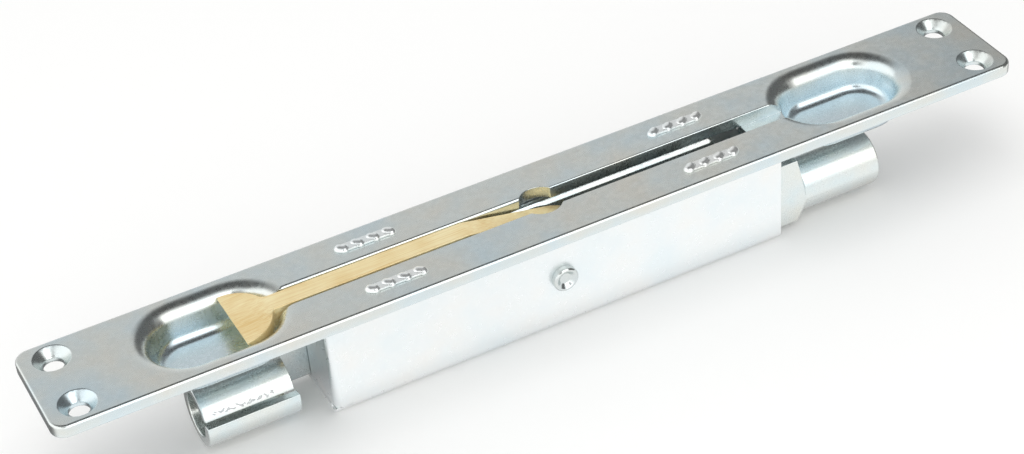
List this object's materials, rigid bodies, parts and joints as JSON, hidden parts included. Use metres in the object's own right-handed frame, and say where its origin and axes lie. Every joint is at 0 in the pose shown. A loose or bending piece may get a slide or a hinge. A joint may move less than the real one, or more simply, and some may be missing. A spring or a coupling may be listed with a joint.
{
  "type": "lever bolt",
  "caption": "Flush lever bolt: slotted face plate with finger recesses, brass lever on a pivot, folded case, and opposed slides with rolled rod sockets.",
  "frame": {"origin": "centre of the four screw holes, on the back of the face plate, where it seats on the door's edge", "axes": "+X along the face plate, away from the lever's thumb piece at rest; +Z out of the face; -Y the near side in the picture"},
  "size_m": [0.24, 0.028, 0.0311],
  "materials": {
    "zinc_plated_plate": "bright zinc plating, satin",
    "zinc_plated_case": "bright zinc plating, satin",
    "zinc_plated_slide": "bright zinc plating, glossy",
    "zinc_plated_pin": "bright zinc plating",
    "brass_lever": "brushed",
    "plain_steel": "machined"
  },
  "bodies": {
    "housing": {"face_plate": "zinc_plated_plate", "case": "zinc_plated_case", "pivot_pin": "zinc_plated_pin", "near_thrust_washer": "plain_steel", "far_thrust_washer": "plain_steel"},
    "lever_assembly": {"lever": "brass_lever", "near_pinion": "plain_steel", "far_pinion": "plain_steel", "upper_drive_rivet": "plain_steel", "lower_drive_rivet": "plain_steel"},
    "near_slide": {"near_slide": "zinc_plated_slide"},
    "far_slide": {"far_slide": "zinc_plated_slide"}
  },
  "joints": [
    {"name": "lever_swing", "type": "hinge", "parent": "housing", "child": "lever_assembly", "pos_m": [0, 0, -0.013], "axis": [0, 1, 0], "range_deg": [0, 150]},
    {"name": "near_slide_travel", "type": "slide", "parent": "housing", "child": "near_slide", "axis": [1, 0, 0], "range_m": [0, 0.01798]},
    {"name": "far_slide_travel", "type": "slide", "parent": "housing", "child": "far_slide", "axis": [-1, 0, 0], "range_m": [0, 0.01798]}
  ],
  "couplings": [
    {"joint": "near_slide_travel", "follows": "lever_swing", "m_per_rad": 0.006869},
    {"joint": "far_slide_travel", "follows": "lever_swing", "m_per_rad": 0.006869}
  ]
}
